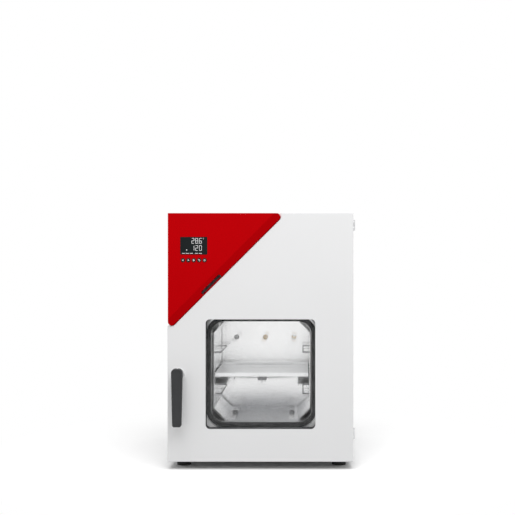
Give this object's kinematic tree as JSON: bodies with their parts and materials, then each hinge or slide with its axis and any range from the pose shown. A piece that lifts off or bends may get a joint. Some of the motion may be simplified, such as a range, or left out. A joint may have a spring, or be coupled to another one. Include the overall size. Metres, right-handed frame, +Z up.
{
  "type": "vacuum oven",
  "caption": "Bench vacuum drying oven: sheet-metal cabinet, glazed hinged door with lever handle, square steel chamber with clamped shelf, and a triangular key panel.",
  "frame": {"origin": "on the bench under the middle of the whole oven, between its four feet", "axes": "+X to the right seen from the front, +Y to the back, +Z up"},
  "size_m": [0.5248, 0.592, 0.713],
  "materials": {
    "white_paint": "smooth light grey powder coat",
    "grey_sheet": "zinc plated sheet",
    "polished_steel": "polished stainless steel",
    "brushed_steel": "brushed stainless steel",
    "black_rubber": "black rubber",
    "silicone": "dark silicone",
    "red_plastic": "satin red moulding",
    "smoked_window": "dark glossy window",
    "black_plastic": "black plastic",
    "grey_plastic": "dark grey moulding",
    "dark_frame": "dark painted frame",
    "glass": "clear glass",
    "aluminium": "anodised",
    "insulation": "mineral wool",
    "heater_mat": "silicone heater mat",
    "circuit_board": "circuit board",
    "brass": "brass",
    "plated_steel": "plated"
  },
  "bodies": {
    "cabinet": {"outer_casing": "white_paint", "base_pan": "grey_sheet", "feet": "black_rubber", "rear_panel": "white_paint", "front_frame": "white_paint", "chamber": "polished_steel", "chamber_flange": "brushed_steel", "door_gasket": "silicone", "heating_jacket": "heater_mat", "insulation_blanket": "insulation", "chamber_cradle": "grey_sheet", "rack_left": "brushed_steel", "rack_right": "brushed_steel", "rack_fixings": "plated_steel", "latch_keeper": "grey_sheet", "cabinet_hinge_leaves": "plated_steel", "hinge_pins": "plated_steel", "instrument_cover": "red_plastic", "display_window": "smoked_window", "display_module": "black_plastic", "control_board": "circuit_board", "electronics_divider": "grey_sheet", "power_board": "circuit_board", "solenoid_valves": "brass", "vacuum_port": "brushed_steel", "gas_inlet_port": "brass", "measuring_port": "brushed_steel", "blank_flange": "aluminium", "pressure_sensor": "brushed_steel", "chamber_probe": "brushed_steel", "mains_inlet": "black_plastic", "cabinet_screws": "plated_steel"},
    "door": {"door_skin": "white_paint", "door_liner": "brushed_steel", "window_frame": "dark_frame", "outer_pane": "glass", "door_hinge_leaves": "plated_steel", "handle_rosette": "plated_steel", "pane_guide_bolts": "plated_steel", "pane_springs": "brushed_steel", "door_screws": "plated_steel"},
    "pane": {"inner_pane": "glass", "pane_carrier": "aluminium"},
    "handle": {"handle_lever": "grey_plastic", "handle_spindle": "plated_steel", "latch_bar": "plated_steel"},
    "shelf": {"shelf_plate": "aluminium"},
    "clamp_block": {"clamp_block": "brushed_steel"},
    "shoe_left": {"clamp_shoe_left": "aluminium"},
    "shoe_right": {"clamp_shoe_right": "aluminium"},
    "rod_left": {"clamp_rod_left": "brushed_steel", "pull_ring": "brushed_steel"},
    "rod_right": {"clamp_rod_right": "brushed_steel"},
    "rocker": {"power_rocker": "black_plastic"},
    "key_up": {"key_up": "black_plastic"},
    "key_down": {"key_down": "black_plastic"},
    "key_set": {"key_set": "black_plastic"},
    "key_back": {"key_back": "black_plastic"},
    "key_standby": {"key_standby": "black_plastic"}
  },
  "joints": [
    {"name": "door_hinge", "type": "hinge", "parent": "cabinet", "child": "door", "pos_m": [0.2617, -0.191, 0.022], "axis": [0, 0, 1], "range_deg": [0, 125]},
    {"name": "handle_turn", "type": "hinge", "parent": "door", "child": "handle", "pos_m": [-0.2265, -0.25, 0.264], "axis": [0, -1, 0], "range_deg": [0, 90]},
    {"name": "pane_float", "type": "slide", "parent": "door", "child": "pane", "axis": [0, -1, 0], "range_m": [0, 0.003], "stiffness_N_per_m": 6000, "deforming": ["pane_springs"]},
    {"name": "shelf_slide", "type": "slide", "parent": "cabinet", "child": "shelf", "axis": [0, -1, 0], "range_m": [0, 0.018]},
    {"name": "clamp_pull", "type": "slide", "parent": "shelf", "child": "clamp_block", "axis": [0, 0, -1], "range_m": [0, 0.008]},
    {"name": "shoe_left_slide", "type": "slide", "parent": "shelf", "child": "shoe_left", "axis": [1, 0, 0], "range_m": [0, 0.0006]},
    {"name": "shoe_right_slide", "type": "slide", "parent": "shelf", "child": "shoe_right", "axis": [-1, 0, 0], "range_m": [0, 0.0006]},
    {"name": "rod_left_pivot", "type": "hinge", "parent": "shoe_left", "child": "rod_left", "pos_m": [-0.126, -0.131, 0.2453], "axis": [0, 1, 0], "range_deg": [0, 4]},
    {"name": "rod_right_pivot", "type": "hinge", "parent": "shoe_right", "child": "rod_right", "pos_m": [0.126, -0.131, 0.2453], "axis": [0, -1, 0], "range_deg": [0, 4]},
    {"name": "rocker_tilt", "type": "hinge", "parent": "cabinet", "child": "rocker", "pos_m": [0.1635, 0.245, 0.08], "axis": [0, 0, 1], "range_deg": [0, 18]},
    {"name": "key_up_press", "type": "slide", "parent": "cabinet", "child": "key_up", "axis": [0, 1, 0], "range_m": [0, 0.0006], "stiffness_N_per_m": 400},
    {"name": "key_down_press", "type": "slide", "parent": "cabinet", "child": "key_down", "axis": [0, 1, 0], "range_m": [0, 0.0006], "stiffness_N_per_m": 400},
    {"name": "key_set_press", "type": "slide", "parent": "cabinet", "child": "key_set", "axis": [0, 1, 0], "range_m": [0, 0.0006], "stiffness_N_per_m": 400},
    {"name": "key_back_press", "type": "slide", "parent": "cabinet", "child": "key_back", "axis": [0, 1, 0], "range_m": [0, 0.0006], "stiffness_N_per_m": 400},
    {"name": "key_standby_press", "type": "slide", "parent": "cabinet", "child": "key_standby", "axis": [0, 1, 0], "range_m": [0, 0.0006], "stiffness_N_per_m": 400}
  ],
  "couplings": [
    {"joint": "shoe_left_slide", "follows": "clamp_pull", "ratio": 0.0678},
    {"joint": "shoe_right_slide", "follows": "clamp_pull", "ratio": 0.0678},
    {"joint": "rod_left_pivot", "follows": "clamp_pull", "rad_per_m": 8.4746},
    {"joint": "rod_right_pivot", "follows": "clamp_pull", "rad_per_m": 8.4746}
  ]
}
